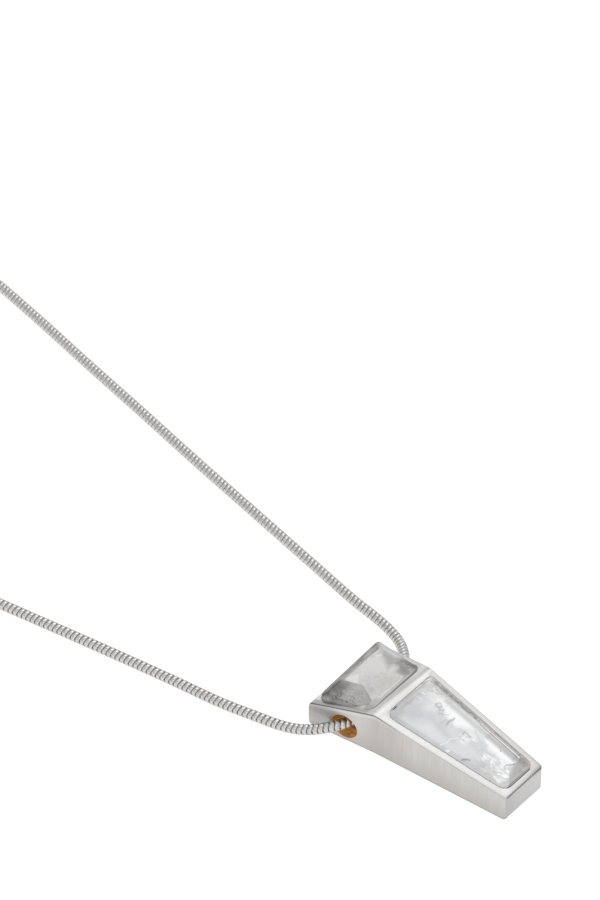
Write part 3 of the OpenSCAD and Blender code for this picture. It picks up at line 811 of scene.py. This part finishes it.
def addBand(s, pitch, materials):
    # one band round the X axis: a crown and a slope on each side, swung to and fro
    half = pitch * s["crown"] / 2
    slack = half * (1 - s["atEnd"])
    bpy.ops.object.select_all(action="DESELECT")
    bpy.ops.mesh.primitive_cylinder_add(vertices=s["sides"], radius=s["radius"], depth=2 * half,
                                        end_fill_type="NOTHING", rotation=(0, math.pi / 2, 0))
    band = bpy.context.active_object
    bpy.ops.object.transform_apply(location=True, rotation=True, scale=True)
    mesh = band.data
    for material in materials:
        mesh.materials.append(material)
    bpy.ops.object.mode_set(mode="EDIT")
    bpy.ops.mesh.select_mode(type="VERT")
    for side in (-1, 1):
        selectWhere(mesh, lambda co: co.x * side > half * s["atEnd"])
        bpy.ops.mesh.extrude_edges_move()
        bpy.ops.transform.resize(value=(1, s["valley"], s["valley"]), center_override=(0, 0, 0))
        bpy.ops.transform.translate(value=(side * (pitch / 2 - half), 0, 0))
    # tips at 0 and 180 degrees are cut back on one side, those at 90 and 270 on the other
    for side, at in ((1, 0), (-1, 90)):
        selectWhere(mesh, lambda co: nearAngle(co, at, 180) and abs(co.x * side - half) < slack)
        bpy.ops.transform.translate(value=(-side * s["notch"] * pitch, 0, 0))
    selectWhere(mesh, lambda co: nearAngle(co, 0, 90) and abs(co.x) > pitch / 2 * s["atEnd"])
    bpy.ops.transform.resize(value=(1, s["dimple"], s["dimple"]), center_override=(0, 0, 0))
    turn = 360 / s["sides"]
    for k in range(s["sides"]):
        swing = 2 * abs((k * turn / 90) % 2 - 1) - 1                # 1 at 0 degrees, -1 at 90
        selectWhere(mesh, lambda co: nearAngle(co, k * turn, 360))
        bpy.ops.transform.translate(value=(swing * s["wave"] * pitch, 0, 0))
    bpy.ops.mesh.select_all(action="SELECT")
    bpy.ops.mesh.normals_make_consistent(inside=False)
    bpy.ops.transform.translate(value=(pitch / 2, 0, 0))
    bpy.ops.object.mode_set(mode="OBJECT")
    for face in mesh.polygons:
        radii = [math.hypot(mesh.vertices[v].co.y, mesh.vertices[v].co.z) for v in face.vertices]
        face.material_index = 1 if min(radii) < s["radius"] * s["slopeBelow"] else 0
    return band


def addChain(s, route, materials):
    line, length = addRouteCurve(route, s)
    count = round(length / s["pitch"])
    pitch = length / count
    chain = addBand(s, pitch, materials)
    chain.name = chain.data.name = "snakeChain"
    row = chain.modifiers.new("row", "ARRAY")
    row.count = count
    row.use_relative_offset, row.use_constant_offset = False, True
    row.constant_offset_displace = (pitch, 0, 0)
    row.use_merge_vertices, row.merge_threshold = True, s["weld"]
    bend = chain.modifiers.new("bend", "CURVE")
    bend.object, bend.deform_axis = line, "POS_X"
    bpy.ops.object.modifier_apply(modifier=row.name)
    bpy.ops.object.modifier_apply(modifier=bend.name)
    bpy.data.objects.remove(line)
    bpy.ops.object.mode_set(mode="EDIT")
    bpy.ops.mesh.select_all(action="SELECT")
    bpy.ops.mesh.fill_holes(sides=s["sides"] + 1)
    bpy.ops.object.mode_set(mode="OBJECT")
    bpy.ops.object.shade_smooth_by_angle(angle=math.radians(s["smooth"]))
    print("chain", count, "bands,", round(length / mm, 1), "mm,", len(chain.data.polygons), "faces")
    return chain


chain = addChain(snakeChain, chainRoute, (chainMetal(chainLook), chainGap(chainLook)))
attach(chain, "root")
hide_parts("snake_chain")

# room: a plain pale floor, an even white surround and two soft lights
room = {
    "floor": 3.0, "floorColour": (0.38, 0.38, 0.38, 1), "floorRoughness": 0.6, "floorGlow": 0.80,
    "world": (0.93, 0.94, 0.95, 1), "worldStrength": 0.85,
    "overhead": {"place": (0.55, 0.45, 0.95), "size": 0.9, "power": 3.6},
    "side": {"place": (-0.75, -0.2, 0.7), "size": 0.6, "power": 1.2},
}


def addSoftbox(name, s):
    lamp = bpy.data.lights.new(name, "AREA")
    lamp.shape, lamp.size, lamp.energy = "SQUARE", s["size"], s["power"]
    made = bpy.data.objects.new(name, lamp)
    made.location = s["place"]
    made.rotation_euler = (-Vector(s["place"])).to_track_quat("-Z", "Y").to_euler()
    made.visible_camera = False
    bpy.context.scene.collection.objects.link(made)


def addRoom(s):
    bpy.ops.object.select_all(action="DESELECT")
    bpy.ops.mesh.primitive_plane_add(size=s["floor"])
    floor = bpy.context.active_object
    floor.name = "paleFloor"
    made, _, shader = startMaterial("paleFloor")
    shader.inputs["Base Color"].default_value = s["floorColour"]
    shader.inputs["Roughness"].default_value = s["floorRoughness"]
    shader.inputs["Emission Color"].default_value = (1, 1, 1, 1)
    shader.inputs["Emission Strength"].default_value = s["floorGlow"]
    floor.data.materials.append(made)
    world = bpy.data.worlds.new("paleSurround")
    world.use_nodes = True
    sky = world.node_tree.nodes["Background"]
    sky.inputs["Color"].default_value = s["world"]
    sky.inputs["Strength"].default_value = s["worldStrength"]
    bpy.context.scene.world = world
    addSoftbox("overheadSoftbox", s["overhead"])
    addSoftbox("sideSoftbox", s["side"])
    bpy.context.scene.view_settings.view_transform = "Standard"


addRoom(room)
print("room lit")
